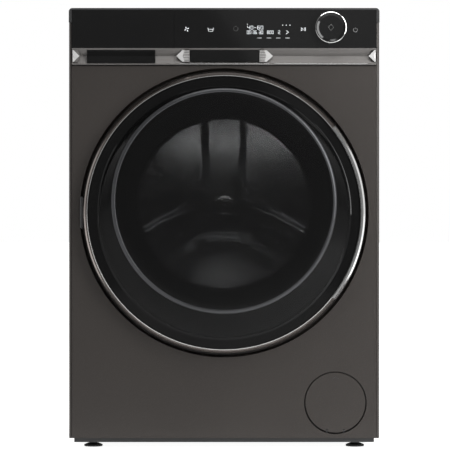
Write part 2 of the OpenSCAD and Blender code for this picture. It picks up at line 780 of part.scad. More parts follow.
// Solid body of the window's dome, set back by t
module dome(t) {
    hull() {
        dome_disc(244 - t, y_face - 19, door_z);
        dome_disc(236 - t, y_face - 28 + t, door_z + 6);
        dome_disc(dome_r + 10 - t, y_front + 5 + t, door_z + dome_rise - 2);
        dome_disc(dome_r - t, y_front + t, door_z + dome_rise);
    }
}

module door_window() color("#101011") {
    difference() {
        union() {
            rod_y(window_r, y_face - 22.5, y_face - 19, 0, door_z);
            dome(0);
        }
        dome(3.2);
        rod_y(238, y_face - 22, y_face - 17, 0, door_z);
    }
}

// Outside of the glass bowl, as [radius, y] points
bowl_outer = concat([[171.5, y_dish - 18], [171.5, y_dish - 14], [167, y_dish - 14],
    [152, y_dish + 56]], [for (a = [10:16:90]) [134 + 18 * cos(a), y_dish + 56 + 18 * sin(a)]]);

module door_bowl() color("#c8d2d4") {
    turn_y(concat(bowl_outer, [[0, y_dish + 74], [0, y_dish + 70]],
        [for (a = [90:-16:10]) [134 + 14 * cos(a), y_dish + 56 + 14 * sin(a)]],
        [[163, y_dish - 18]]));
}

module door_inner_frame() color("#202021") {
    rear = y_face + 15;
    difference() {
        union() {
            rod_y(266.2, rear - 3, rear, 0, door_z);
            tube_y(256, 261, y_face - 18.8, rear - 2, 0, door_z);
            rod_y(178, rear - 16, rear - 1);
        }
        rod_y(172, rear - 17, rear - 3);
        rod_y(168.3, rear - 4, rear + 1);
        slab([226, rear - 4, door_z - 8], [248, rear + 1, door_z + 8]);
        slab([-280, y_face - 30, door_z - 34], [-264.5, rear + 1, door_z + 34]);
    }
    for (side = [-1, 1]) translate([0, 0, door_z]) mirror([0, 0, side < 0 ? 1 : 0])
        slab([226, latch[1] - 5, 8.4], [248, rear - 2, 12]);
    rod_z(pin_r, door_z - 11, door_z + 11, latch[0], latch[1]);
}

module latch_hook() color("#c2c4c6") {
    difference() {
        union() {
            rod_z(5, door_z - 7.6, door_z + 7.6, latch[0], latch[1]);
            slab([latch[0] - 3, latch[1], door_z - 6], [latch[0] + 3, y_dish + 22, door_z + 6]);
            translate([0, 0, door_z - 6]) linear_extrude(12)
                polygon([[latch[0] + 2, y_dish + 10], [latch[0] + 10, y_dish + 12],
                    [latch[0] + 3, y_dish + 22], [latch[0] + 2, y_dish + 22]]);
        }
        rod_z(pin_r + run_gap, door_z - 9, door_z + 9, latch[0], latch[1]);
    }
}

module door_lock() color("#2b2b2d") {
    difference() {
        slab([214, y_dish + sheet, door_z - 22], [258, y_dish + 34, door_z + 22]);
        slab([219.5, y_dish, door_z - 10.5], [252.5, y_dish + 27, door_z + 10.5]);
    }
}

module door_hinge_bracket() color("#3c3c3e") {
    difference() {
        union() {
            for (side = [-1, 1]) translate([0, 0, door_z]) mirror([0, 0, side < 0 ? 1 : 0]) {
                slab([-274.2, hinge[1], 12], [-269.8, y_dish - 0.5, 29]);
                rod_z(4, 12, 29, hinge[0], hinge[1]);
            }
            slab([-273.8, y_dish - 2.5, door_z - 29], [-250, y_dish, door_z + 29]);
        }
        rod_z(pin_r + run_gap, door_z - 30, door_z + 30, hinge[0], hinge[1]);
    }
}

module door_hinge_pin() color("#c2c4c6") {
    rod_z(pin_r, door_z - 31, door_z + 31, hinge[0], hinge[1]);
    rod_z(3.4, door_z + 29.1, door_z + 31, hinge[0], hinge[1]);
}

module gasket() color("#6b6d70") {
    turn_y(ribbon([[196, y_dish - 3.2], [187, y_dish - 3.4], [176, y_dish + 2], [165.5, y_dish + 9],
        [166, y_dish + 13], [177, y_dish + 14], [182, y_dish + 20], [177, y_dish + 30],
        [178, y_dish + 38], [184, y_dish + 42], [188.5, y_dish + 48], [188.5, y_dish + 62]], 3));
}

cabinet_shell();
rear_cover();
rear_screws();
base_tray();
front_panel();
worktop();
fascia_frame();
control_glass();
fascia_strip();
strip_facets();
badge_plate();
dispenser_housing();
inlet_valve();
inlet_hose();
fill_hose();
control_box();
gasket();
door_hinge_bracket();
door_hinge_pin();
door_lock();
suspension_springs();
damper_cylinders();
filter_frame();
pump_housing();
sump_hose();
drain_hose();
drain_outlet();
power_gland();
tub_front();
tub_rear();
front_counterweight();
top_counterweight();
stator();
heater();
damper_rods();
bearings();
drum_shell();
drum_back();
drum_lifters();
drum_spider();
rotor();
door_bezel();
door_grip();
door_window();
door_bowl();
door_inner_frame();
latch_hook();
drawer_front();
drawer_strip();
drawer_pull();
drawer_tray();
program_knob();
knob_ring();
filter_cover();
pump_filter();
pump_impeller();
foot(0);  // foot_front_left
foot(1);  // foot_front_right
foot(2);  // foot_rear_left
foot(3);  // foot_rear_right
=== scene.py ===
import json
import math

import bmesh
import bpy
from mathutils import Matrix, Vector


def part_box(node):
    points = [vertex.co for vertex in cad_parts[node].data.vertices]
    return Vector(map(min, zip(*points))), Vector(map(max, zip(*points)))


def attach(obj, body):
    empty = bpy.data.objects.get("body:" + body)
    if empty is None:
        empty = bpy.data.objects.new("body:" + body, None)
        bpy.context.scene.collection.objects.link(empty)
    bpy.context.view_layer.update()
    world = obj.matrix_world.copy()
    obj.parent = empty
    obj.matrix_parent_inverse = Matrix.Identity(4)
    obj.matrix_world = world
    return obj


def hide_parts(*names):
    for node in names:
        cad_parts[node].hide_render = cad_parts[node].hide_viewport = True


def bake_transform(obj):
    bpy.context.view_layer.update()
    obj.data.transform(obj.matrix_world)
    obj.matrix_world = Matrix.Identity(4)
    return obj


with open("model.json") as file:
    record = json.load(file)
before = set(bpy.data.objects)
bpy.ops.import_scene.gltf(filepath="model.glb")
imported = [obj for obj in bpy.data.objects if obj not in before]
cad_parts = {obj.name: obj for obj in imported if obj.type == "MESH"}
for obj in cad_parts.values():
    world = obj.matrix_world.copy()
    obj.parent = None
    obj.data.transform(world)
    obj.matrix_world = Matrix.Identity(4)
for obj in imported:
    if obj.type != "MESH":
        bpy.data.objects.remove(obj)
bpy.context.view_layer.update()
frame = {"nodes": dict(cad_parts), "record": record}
NODES = frame["nodes"]
RECORD = frame["record"]
MM = 0.001
SLOT_OF = {s["node"]: s["material_slot"] for s in RECORD["subparts"]}


# ---------------------------------------------------------------- materials

def put(tree, kind, **values):
    """A node with its inputs set: a number or colour, or the socket it takes its value from."""
    n = tree.nodes.new(kind)
    for key, v in values.items():
        if key.startswith("p_"):
            setattr(n, key[2:], v)
            continue
        socket = n.inputs[int(key[1:])] if key[1:].isdigit() else n.inputs[key.replace("_", " ")]
        if isinstance(v, bpy.types.NodeSocket):
            tree.links.new(v, socket)
        else:
            socket.default_value = v
    return n


def finish_of(name, dark, light, rough=(0.4, 0.5), metal=0.0, grain=400.0, patch=9.0, stretch=(1, 1, 1),
              bump=0.1, depth=0.0002, fleck=None, **own):
    """Colour that varies softly from dark to light, roughness that varies with it, and a fine bump.
    own sets Principled sockets directly, such as Coat_Weight or Alpha."""
    m = bpy.data.materials.new(name)
    m.use_nodes = True
    t = m.node_tree
    shader = t.nodes["Principled BSDF"]
    where = put(t, "ShaderNodeTexCoord").outputs["Object"]
    spread = put(t, "ShaderNodeMapping", Vector=where, Scale=stretch).outputs[0]
    patches = put(t, "ShaderNodeTexNoise", Vector=spread, Scale=patch, Detail=5.0,
                  Roughness=0.6).outputs[0]
    fine = put(t, "ShaderNodeTexNoise", Vector=spread, Scale=grain, Detail=4.0,
               Roughness=0.65).outputs[0]
    both = put(t, "ShaderNodeMath", p_operation="MULTIPLY_ADD", _0=fine, _1=0.35, _2=patches).outputs[0]
    ramp = put(t, "ShaderNodeValToRGB", Fac=both)
    ramp.color_ramp.elements[0].position = 0.45
    ramp.color_ramp.elements[0].color = (*dark, 1)
    ramp.color_ramp.elements[1].position = 0.9
    ramp.color_ramp.elements[1].color = (*light, 1)
    colour = ramp.outputs[0]
    if fleck:
        cells = put(t, "ShaderNodeTexVoronoi", Vector=where, Scale=fleck[1]).outputs["Color"]
        amount = put(t, "ShaderNodeSeparateColor", _0=cells).outputs[0]
        share = put(t, "ShaderNodeMapRange", Value=amount, From_Min=0.8, From_Max=1.0,
                    To_Max=fleck[2]).outputs[0]
        mix = put(t, "ShaderNodeMix", p_data_type="RGBA", Factor=share)
        t.links.new(colour, mix.inputs[6])
        mix.inputs[7].default_value = (*fleck[0], 1)
        colour = mix.outputs[2]
    t.links.new(colour, shader.inputs["Base Color"])
    t.links.new(put(t, "ShaderNodeMapRange", Value=patches, To_Min=rough[0], To_Max=rough[1]).outputs[0],
                shader.inputs["Roughness"])
    t.links.new(put(t, "ShaderNodeBump", Height=fine, Strength=bump, Distance=depth).outputs[0],
                shader.inputs["Normal"])
    shader.inputs["Metallic"].default_value = metal
    for key, v in own.items():
        shader.inputs[key.replace("_", " ")].default_value = v
    return m


BLACK = (0.0035, 0.0035, 0.0036)
M = {
    "graphite_paint": finish_of("graphite_paint", (0.0225, 0.0184, 0.0158), (0.0300, 0.0249, 0.0217),
                                (0.42, 0.52), 0.3,
                                grain=2600, patch=3, bump=0.12, depth=0.00006,
                                fleck=((0.10, 0.09, 0.083), 2400, 0.35), Coat_Weight=0.12,
                                Coat_Roughness=0.28),
    "zinc_sheet": finish_of("zinc_sheet", (0.36, 0.37, 0.38), (0.52, 0.53, 0.54), (0.38, 0.55), 0.9,
                            grain=120,
                            patch=45, bump=0.08, fleck=((0.62, 0.63, 0.65), 95, 0.6)),
    "black_plastic": finish_of("black_plastic", (0.010, 0.010, 0.0105), (0.018, 0.018, 0.0185),
                               (0.45, 0.6),
                               grain=1500, bump=0.25, depth=0.00008),
    "worktop_board": finish_of("worktop_board", (0.007, 0.007, 0.0071), (0.014, 0.014, 0.0142),
                               (0.42, 0.55),
                               grain=700, patch=5, bump=0.3, depth=0.0001),
    "black_gloss": finish_of("black_gloss", BLACK, (0.0055, 0.0055, 0.0055), (0.04, 0.07), grain=90,
                             patch=4,
                             bump=0.01, depth=0.00002, Specular_IOR_Level=0.4),
    "silver_strip": finish_of("silver_strip", (0.125, 0.119, 0.115), (0.168, 0.160, 0.154),
                              (0.54, 0.62), 0.6,
                              grain=260, stretch=(0.05, 1, 1), bump=0.1, depth=0.00005),
    "bright_chrome": finish_of("bright_chrome", (0.62, 0.62, 0.62), (0.75, 0.75, 0.74), (0.08, 0.14),
                               1.0,
                               grain=300, bump=0.03, depth=0.00003),
    "dark_chrome": finish_of("dark_chrome", (0.20, 0.175, 0.165), (0.26, 0.235, 0.22), (0.14, 0.22), 1.0,
                             grain=300, bump=0.03, depth=0.00003),
    "smoked_window": finish_of("smoked_window", BLACK, (0.005, 0.005, 0.005), (0.13, 0.17), grain=60,
                               patch=3,
                               bump=0.008, depth=0.00002, Alpha=0.8, Specular_IOR_Level=0.18),
    "bowl_glass": finish_of("bowl_glass", (0.22, 0.24, 0.245), (0.28, 0.30, 0.305), (0.02, 0.04),
                            grain=60, patch=3,
                            bump=0.01, depth=0.00003, Alpha=0.08),
    "door_rubber": finish_of("door_rubber", (0.085, 0.088, 0.092), (0.13, 0.133, 0.138), (0.55, 0.7),
                             grain=900,
                             bump=0.2, depth=0.0001),
    "hose_rubber": finish_of("hose_rubber", (0.016, 0.016, 0.017), (0.030, 0.030, 0.031), (0.5, 0.65),
                             grain=700,
                             bump=0.25, depth=0.0001),
    # the feet are black plastic, set darker still than the base's black plastic as painted shade for their
    # place under the cabinet
    "foot_plastic": finish_of("foot_plastic", (0.005, 0.005, 0.0052), (0.009, 0.009, 0.0093),
                              (0.5, 0.65), grain=900,
                              bump=0.3, depth=0.0001),
    "white_plastic": finish_of("white_plastic", (0.62, 0.63, 0.62), (0.72, 0.73, 0.72), (0.34, 0.46),
                               grain=900,
                               bump=0.12, depth=0.00006),
    "grey_plastic": finish_of("grey_plastic", (0.36, 0.37, 0.37), (0.46, 0.47, 0.47), (0.42, 0.55),
                              grain=500,
                              patch=14, bump=0.2, depth=0.0001),
    "pump_plastic": finish_of("pump_plastic", (0.045, 0.045, 0.05), (0.07, 0.07, 0.075), (0.4, 0.55),
                              grain=800,
                              bump=0.25, depth=0.0001),
    "spring_steel": finish_of("spring_steel", (0.30, 0.31, 0.32), (0.44, 0.45, 0.46), (0.25, 0.4), 1.0,
                              grain=500,
                              bump=0.15, depth=0.00005),
    "damper_black": finish_of("damper_black", (0.020, 0.020, 0.022), (0.036, 0.036, 0.038), (0.3, 0.42),
                              grain=600,
                              bump=0.15, depth=0.00006),
    "concrete": finish_of("concrete", (0.26, 0.255, 0.24), (0.44, 0.435, 0.42), (0.8, 0.95), grain=160,
                          patch=22,
                          bump=0.7, depth=0.001, fleck=((0.14, 0.14, 0.13), 260, 0.7)),
    "copper_winding": finish_of("copper_winding", (0.42, 0.17, 0.07), (0.62, 0.29, 0.14), (0.28, 0.4),
                                0.9,
                                grain=900, stretch=(1, 0.15, 1), bump=0.6, depth=0.0004),
    "heater_steel": finish_of("heater_steel", (0.36, 0.35, 0.34), (0.50, 0.49, 0.47), (0.3, 0.45), 1.0,
                              grain=400,
                              bump=0.15, depth=0.00006),
    "drum_steel": finish_of("drum_steel", (0.55, 0.56, 0.57), (0.68, 0.69, 0.70), (0.2, 0.32), 1.0,
                            grain=220,
                            patch=12, stretch=(1, 0.06, 1), bump=0.08, depth=0.00005),
    "cast_alloy": finish_of("cast_alloy", (0.38, 0.39, 0.40), (0.52, 0.53, 0.54), (0.45, 0.6), 0.9,
                            grain=350,
                            bump=0.5, depth=0.0003),
    "rotor_steel": finish_of("rotor_steel", (0.15, 0.16, 0.17), (0.23, 0.24, 0.25), (0.35, 0.5), 0.6,
                             grain=500,
                             bump=0.2, depth=0.0001),
}
RIM_BLACK = finish_of("rim_black", BLACK, (0.0055, 0.0055, 0.0055), (0.04, 0.06), grain=80, patch=4,
                      bump=0.008,
                      depth=0.00002, Specular_IOR_Level=0.2)
GLOW = finish_of("display_white", (0.72, 0.74, 0.75), (0.86, 0.88, 0.88), (0.4, 0.5), grain=500,
                 bump=0.02,
                 Emission_Color=(0.9, 0.94, 1, 1), Emission_Strength=0.6)
# grey print with a faint glow: the print is the thing's own, the glow is painted light
PRINT_FAINT_GLOW = finish_of("print_grey_painted_glow", (0.20, 0.20, 0.20), (0.27, 0.27, 0.27), (0.4, 0.5), grain=500, bump=0.02,
                Emission_Color=(1, 1, 1, 1), Emission_Strength=0.06)

for name, o in NODES.items():
    o.data.materials.clear()
    o.data.materials.append(M[SLOT_OF[name]])


# ---------------------------------------------------------------- mesh helpers, all in millimetres

def box_mm(node):
    lo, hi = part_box(node)
    return lo / MM, hi / MM


def piece(name, verts, faces, material, body, node_names=(), bevel=0.0, segments=2,
          crease=32, smooth=True):
    """A mesh from millimetre points, shaded smooth except at its sharp edges, riding on its body."""
    mesh = bpy.data.meshes.new(name)
    mesh.from_pydata([Vector(v) * MM for v in verts], [], faces)
    mesh.validate()
    work = bmesh.new()
    work.from_mesh(mesh)
    bmesh.ops.remove_doubles(work, verts=work.verts, dist=1e-6)
    bmesh.ops.delete(work, geom=[e for e in work.edges if not e.link_faces], context="EDGES")
    bmesh.ops.recalc_face_normals(work, faces=work.faces)
    work.to_mesh(mesh)
    work.free()
    if smooth:
        mesh.shade_smooth()
        mesh.set_sharp_from_angle(angle=math.radians(crease))
    mesh.materials.append(material)
    o = bpy.data.objects.new(name, mesh)
    bpy.context.scene.collection.objects.link(o)
    if bevel:
        round_edges(o, bevel, segments)
    if body:
        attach(o, body)
    if node_names:
        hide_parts(*node_names)
    return o


def round_edges(o, width, segments=2, angle=32):
    b = o.modifiers.new("edges", "BEVEL")
    b.width = width * MM
    b.segments = segments
    b.limit_method = "ANGLE"
    b.angle_limit = math.radians(angle)
    b.harden_normals = True


def turned(profile, x=0.0, z=0.0, steps=192, a0=0.0, a1=360.0, dz=None):
    """Points and faces of [radius, y] points turned about an axis along Y. dz lifts each ring's centre."""
    closed = abs(a1 - a0) >= 360
    count = steps if closed else steps + 1
    verts, faces = [], []
    n = len(profile)
    for i in range(count):
        a = math.radians(a0 + (a1 - a0) * i / steps)
        for k, (r, y) in enumerate(profile):
            lift = dz[k] if dz else 0
            verts.append((x + r * math.cos(a), y, z + lift + r * math.sin(a)))
    for i in range(steps):
        j = (i + 1) % count
        for k in range(n):
            m = (k + 1) % n
            faces.append((i * n + k, i * n + m, j * n + m, j * n + k))
    if not closed:
        faces += [tuple(range(n)), tuple(range((count - 1) * n, count * n))[::-1]]
    return verts, faces


def lathe_open(profile, x, z, steps=192, dz=None):
    """As turned, for an open profile that ends on the axis, so the face closes there."""
    verts, faces = [], []
    n = len(profile)
    for i in range(steps):
        a = 2 * math.pi * i / steps
        for k, (r, y) in enumerate(profile):
            lift = dz[k] if dz else 0
            verts.append((x + r * math.cos(a), y, z + lift + r * math.sin(a)))
    for i in range(steps):
        j = (i + 1) % steps
        for k in range(n - 1):
            faces.append((i * n + k, i * n + k + 1, j * n + k + 1, j * n + k))
    return verts, faces


def plate(outline, y0, y1):
    """Points and faces of an (x, z) outline between two depths."""
    n = len(outline)
    verts = [(x, y0, z) for x, z in outline] + [(x, y1, z) for x, z in outline]
    faces = [tuple(range(n))[::-1], tuple(range(n, 2 * n))]
    faces += [(i, (i + 1) % n, n + (i + 1) % n, n + i) for i in range(n)]
    return verts, faces


def joined(parts):
    verts, faces = [], []
    for v, f in parts:
        faces += [tuple(i + len(verts) for i in face) for face in f]
        verts += v
    return verts, faces


def bar(x0, z0, x1, z1, y0, y1):
    return plate([(x0, z0), (x1, z0), (x1, z1), (x0, z1)], y0, y1)


def stroke(points, width, y0, y1):
    """A line of even width through (x, z) points, as one flat strip."""
    left, right = [], []
    for i, p in enumerate(points):
        a = Vector(points[max(i - 1, 0)])
        b = Vector(points[min(i + 1, len(points) - 1)])
        d = (b - a).normalized() * width / 2
        left.append((p[0] - d[1], p[1] + d[0]))
        right.append((p[0] + d[1], p[1] - d[0]))
    return plate(left + right[::-1], y0, y1)


def arc_points(x, z, r, a0, a1, steps=24):
    return [(x + r * math.cos(math.radians(a0 + (a1 - a0) * i / steps)),
             z + r * math.sin(math.radians(a0 + (a1 - a0) * i / steps))) for i in range(steps + 1)]


# ---------------------------------------------------------------- camera, light and floor

FACE_Y = box_mm("front_panel")[0].y
EYE_DISTANCE = 4.831
cam = bpy.data.cameras.new("cam")
cam.lens = 200
cam.sensor_width = 36
cam.clip_end = 60
eye = bpy.data.objects.new("cam", cam)
bpy.context.scene.collection.objects.link(eye)
eye.location = (0.0017, FACE_Y * MM - EYE_DISTANCE, 0.431)
eye.rotation_euler = (math.radians(90), 0, 0)
bpy.context.scene.camera = eye
bpy.context.scene.view_settings.view_transform = "Standard"


def area_light(name, place, aim, size, power, colour=(1, 1, 1)):
    data = bpy.data.lights.new(name, "AREA")
    data.shape = "RECTANGLE"
    data.size, data.size_y = size
    data.energy = power
    data.color = colour
    o = bpy.data.objects.new(name, data)
    bpy.context.scene.collection.objects.link(o)
    o.location = place
    o.rotation_euler = (Vector(aim) - Vector(place)).to_track_quat("-Z", "Y").to_euler()
    return o


area_light("key", (1.15, -1.35, 1.05), (0.1, -0.25, 0.5), (0.7, 1.3), 24)
area_light("top", (0.2, -0.9, 3.0), (0, 0, 0.6), (2.4, 1.0), 14)
area_light("upper", (0.15, -1.0, 1.75), (0, -0.25, 0.75), (1.2, 0.35), 7)
area_light("left_strip", (-2.6, -1.9, 1.1), (0, -0.2, 0.5), (0.4, 1.8), 5)
area_light("back", (0.0, 3.2, 2.6), (0, 0, 0.4), (3.0, 2.0), 25)

world = bpy.data.worlds.new("studio")
bpy.context.scene.world = world
world.use_nodes = True
wt = world.node_tree
ray = put(wt, "ShaderNodeTexCoord").outputs["Generated"]
axes = put(wt, "ShaderNodeSeparateXYZ", Vector=ray)
ahead = put(wt, "ShaderNodeMapRange", Value=axes.outputs["Y"], From_Min=-0.35, From_Max=0.35,
            To_Min=0.22, To_Max=1.0, p_interpolation_type="SMOOTHSTEP").outputs[0]
wt.links.new(ahead, wt.nodes["Background"].inputs["Strength"])
wt.nodes["Background"].inputs["Color"].default_value = (1, 1, 1, 1)

floor_mesh = bpy.data.meshes.new("floor")
floor_mesh.from_pydata([(-30, -12, 0), (30, -12, 0), (30, 60, 0), (-30, 60, 0)], [], [(0, 1, 2, 3)])
floor_mesh.materials.append(finish_of("floor_white", (0.80, 0.80, 0.80), (0.84, 0.84, 0.84),
                                      (0.6, 0.75), grain=60,
                                      patch=1.5, bump=0.02, Emission_Color=(1, 1, 1, 1)))
ft = floor_mesh.materials[0].node_tree
place = put(ft, "ShaderNodeSeparateXYZ", Vector=put(ft, "ShaderNodeTexCoord").outputs["Object"])
glow = put(ft, "ShaderNodeMapRange", Value=place.outputs["Y"], From_Min=-0.55, From_Max=-0.30,
           To_Min=0.10, To_Max=0.92,
           p_interpolation_type="SMOOTHSTEP").outputs[0]
ft.links.new(glow, ft.nodes["Principled BSDF"].inputs["Emission Strength"])
floor_piece = bpy.data.objects.new("floor", floor_mesh)
bpy.context.scene.collection.objects.link(floor_piece)

# a dim slanted panel behind the camera shows in the control glass, and in no view itself
panel = area_light("panel", (0.563, -4.25, 1.474), (0.563, 0, 1.474), (1.3, 0.9), 0.85)
panel.rotation_euler = (math.radians(90), math.radians(-32.7), 0)
panel.visible_camera = False


# ---------------------------------------------------------------- door

def curve_through(keys, n):
    """Rows of numbers on the smooth curve through the keys, n for each stretch."""
    out = []
    for i in range(len(keys) - 1):
        a, b, c, d = keys[max(i - 1, 0)], keys[i], keys[i + 1], keys[min(i + 2, len(keys) - 1)]
        for k in range(n):
            t = k / n
            out.append(tuple(0.5 * (2 * q + (r - p) * t + (2 * p - 5 * q + 4 * r - s) * t * t
                                    + (3 * q - p - 3 * r + s) * t ** 3) for p, q, r,
                                    s in zip(a, b, c, d)))
    return out + [tuple(keys[-1])]


win_lo, win_hi = box_mm("door_window")
DOOR_Z = (win_lo.z + win_hi.z) / 2
RIM_R = (win_hi.x - win_lo.x) / 2
FRONT = win_lo.y
RIM_Y = FACE_Y - 22.5
DOME_UP = 22.4

skin = [(RIM_R, FACE_Y - 19.2, 0), (RIM_R, RIM_Y + 0.7, 0), (RIM_R - 0.7, RIM_Y, 0), (254, RIM_Y, 0),
        (245, RIM_Y, 0)]
ridge = [(245, RIM_Y, 0), (241.5, RIM_Y - 1.6, 2.2), (236, RIM_Y - 6.2, 6.4), (226, FRONT + 11.5, 13.8),
         (218, FRONT + 5.6, 19.6), (211.5, FRONT + 1.4, 22.0), (204.5, FRONT + 0.25, DOME_UP),
         (190, FRONT + 0.05, DOME_UP)]
flat = [(150, FRONT + 0.02, DOME_UP), (100, FRONT + 0.01, DOME_UP), (50, FRONT, DOME_UP),
        (0, FRONT, DOME_UP)]
inner = [(0, FRONT + 3.2, DOME_UP), (100, FRONT + 3.2, DOME_UP), (190, FRONT + 3.3, DOME_UP),
         (203, FRONT + 3.6, DOME_UP), (209, FRONT + 5.2, 21.8), (215, FRONT + 8.6, 19.2),
         (223, FRONT + 14.4, 13.4),
         (233, RIM_Y - 2.6, 6.0), (238, FACE_Y - 19.2, 2.0)]
rows = skin[:-1] + curve_through(ridge, 9) + flat + curve_through(inner, 3)
v, f = turned([r[:2] for r in rows], 0, DOOR_Z, 200, dz=[r[2] for r in rows])
glass = piece("door_glass", v, f, M["smoked_window"], "door", ["door_window"],
              crease=13)
glass.data.materials.append(RIM_BLACK)
for p in glass.data.polygons:
    c = p.center / MM
    if math.hypot(c.x, c.z - DOOR_Z) > 241:
        p.material_index = 1

RIDGE = finish_of("window_ridge", (0.055, 0.056, 0.059), (0.075, 0.076, 0.080), (0.3, 0.36), 0.75,
                  grain=120, patch=4,
                  bump=0.02, depth=0.00003)
bead = [(216.2, FRONT + 4.0), (215.6, FRONT + 2.4), (214.4, FRONT + 1.1), (212.8, FRONT + 0.4),
        (211, FRONT + 0.15),
        (209.4, FRONT + 0.3), (208.6, FRONT + 0.8), (208.6, FRONT + 1.8), (213, FRONT + 5.6),
        (215.8, FRONT + 5.8)]
v, f = turned(bead, 0, DOOR_Z + DOME_UP, 240)
piece("window_ridge", v, f, RIDGE, "door", crease=50)

BEZEL_Y = box_mm("door_bezel")[0].y
v, f = turned([(RIM_R + 0.35, BEZEL_Y + 3), (RIM_R + 0.35, BEZEL_Y - 0.1), (RIM_R + 0.7, BEZEL_Y - 0.5),
               (RIM_R + 1.5, BEZEL_Y - 0.5), (RIM_R + 1.9, BEZEL_Y - 0.1), (RIM_R + 1.9, BEZEL_Y + 3)],
               0, DOOR_Z, 240)
piece("bezel_edge", v, f, M["bright_chrome"], "door")


# ---------------------------------------------------------------- drum, seen through the window

drum_lo, drum_hi = box_mm("drum_back")
AXIS_Z = (drum_lo.z + drum_hi.z) / 2
DISC_R = (drum_hi.x - drum_lo.x) / 2
DISC_Y = drum_hi.y
ARMS = (90, 210, 330)


def blend_min(a, b, k):
    h = max(k - abs(a - b), 0) / k
    return min(a, b) - h * h * k / 4


def star_distance(x, z):
    """Distance outside the three-armed star, below 0 inside it, with soft corners between the arms."""
    d = math.hypot(x, z) - 62
    for a in ARMS:
        c, s = math.cos(math.radians(a)), math.sin(math.radians(a))
        along, across = x * c + z * s, abs(-x * s + z * c)
        half = 36 + 12 * min(max(along / 120, 0), 1)
        arm = math.hypot(across, along - 172) - half if along > 172 else across - half
        d = blend_min(d, arm if along > 0 else math.hypot(along, across) - half, 46)
    return d


def soft(t):
    t = min(max(t, 0), 1)
    return t * t * (3 - 2 * t)


STAR_RISE = 8.5
DISC_SHEET = 2
verts, faces = [(0, DISC_Y - DISC_SHEET - STAR_RISE, AXIS_Z)], []
turns, rings = 240, 82
for k in range(1, rings + 1):
    r = DISC_R * k / rings
    for i in range(turns):
        a = 2 * math.pi * i / turns
        x, z = r * math.cos(a), r * math.sin(a)
        verts.append((x, DISC_Y - DISC_SHEET - STAR_RISE * soft(-star_distance(x, z) / 16), AXIS_Z + z))
faces += [(0, 1 + i, 1 + (i + 1) % turns) for i in range(turns)]
for k in range(rings - 1):
    for i in range(turns):
        j = (i + 1) % turns
        faces.append((1 + k * turns + i, 1 + (k + 1) * turns + i, 1 + (k + 1) * turns + j,
                      1 + k * turns + j))
edge = 1 + (rings - 1) * turns
back = len(verts)
verts += [(verts[edge + i][0], DISC_Y, verts[edge + i][2]) for i in range(turns)]
faces += [(edge + i, back + i, back + (i + 1) % turns, edge + (i + 1) % turns) for i in range(turns)]
faces.append(tuple(range(back, back + turns)))
piece("drum_star", verts, faces, M["drum_steel"], "drum", ["drum_back"], crease=50)

STAR_Y = DISC_Y - DISC_SHEET - STAR_RISE


def on_arm(a, along, across):
    c, s = math.cos(math.radians(a)), math.sin(math.radians(a))
    return (along * c - across * s, AXIS_Z + along * s + across * c)


beads, ribs = [], []
for a in ARMS:
    for side in (-1, 1):
        line = curve_through([(28, 33 * side), (60, 27 * side), (100, 23 * side), (140, 19 * side),
                              (158, 23 * side)], 5)
        beads.append(stroke([on_arm(a, p, q) for p, q in line], 3.4, STAR_Y - 2.2, STAR_Y + 0.5))
    ribs.append(plate([on_arm(a, p, q) for p,
                       q in ((93, -9), (91, 0), (93, 9), (170, 16), (174, 0), (170, -16))],
                      STAR_Y - 6, STAR_Y + 0.5))
v, f = joined(beads)
piece("drum_star_beads", v, f, M["drum_steel"], "drum", bevel=1.0)
v, f = joined(ribs)
piece("drum_star_ribs", v, f, M["drum_steel"], "drum", bevel=2.4, segments=3)
v, f = lathe_open([(23.5, STAR_Y + 0.5), (23.5, STAR_Y - 2), (21.5, STAR_Y - 4.4), (15, STAR_Y - 6.2),
                   (0, STAR_Y - 6.8)], 0, AXIS_Z, 96)
piece("drum_hub_cap", v, f, M["drum_steel"], "drum")

# the back's perforations are dark hexagons laid on the steel, not cut through it: painted shade for the
# dark seen through each hole
HOLE_SHADE = finish_of("hole_painted_shade", (0.004, 0.004, 0.004), (0.009, 0.009, 0.009), (0.7, 0.85), grain=900,
                      bump=0.05)
HOLE_R = 1.8
hole_shade_discs = []
for r in range(72, 242, 12):
    count = int(2 * math.pi * r / 13)
    for i in range(count):
        a = 2 * math.pi * (i + (r // 12) % 2 / 2) / count
        x, z = r * math.cos(a), r * math.sin(a)
        if star_distance(x, z) > 6:
            hole_shade_discs.append(plate([(x + HOLE_R * math.cos(b), AXIS_Z + z + HOLE_R * math.sin(b))
                                for b in (math.radians(60 * q) for q in range(6))], DISC_Y - 2.25,
                                DISC_Y - 1.7))
v, f = joined(hole_shade_discs)
piece("drum_back_hole_shade", v, f, HOLE_SHADE, "drum", smooth=False)

shell_lo, shell_hi = box_mm("drum_shell")
WALL_R = (shell_hi.x - shell_lo.x) / 2 - 1.2
# the wall's perforations are also dark hexagons on the steel: painted shade for the dark seen through each
# hole
verts, faces = [], []
for row in range(15):
    y = -105 + 18 * row
    for i in range(72):
        a = 2 * math.pi * (i + row % 2 / 2) / 72
        if min(abs((math.degrees(a) - b + 180) % 360 - 180) for b in ARMS) < 9:
            continue
        n = len(verts)
        for depth in (-0.3, 0.5):
            for q in range(6):
                b = math.radians(60 * q)
                t = a + HOLE_R * math.cos(b) / WALL_R
                verts.append(((WALL_R + depth) * math.cos(t), y + HOLE_R * math.sin(b),
                              AXIS_Z + (WALL_R + depth) * math.sin(t)))
        faces += [tuple(range(n, n + 6)), tuple(range(n + 6, n + 12))[::-1]]
        faces += [(n + q, n + 6 + q, n + 6 + (q + 1) % 6, n + (q + 1) % 6) for q in range(6)]
piece("drum_wall_hole_shade", verts, faces, HOLE_SHADE, "drum", smooth=False)

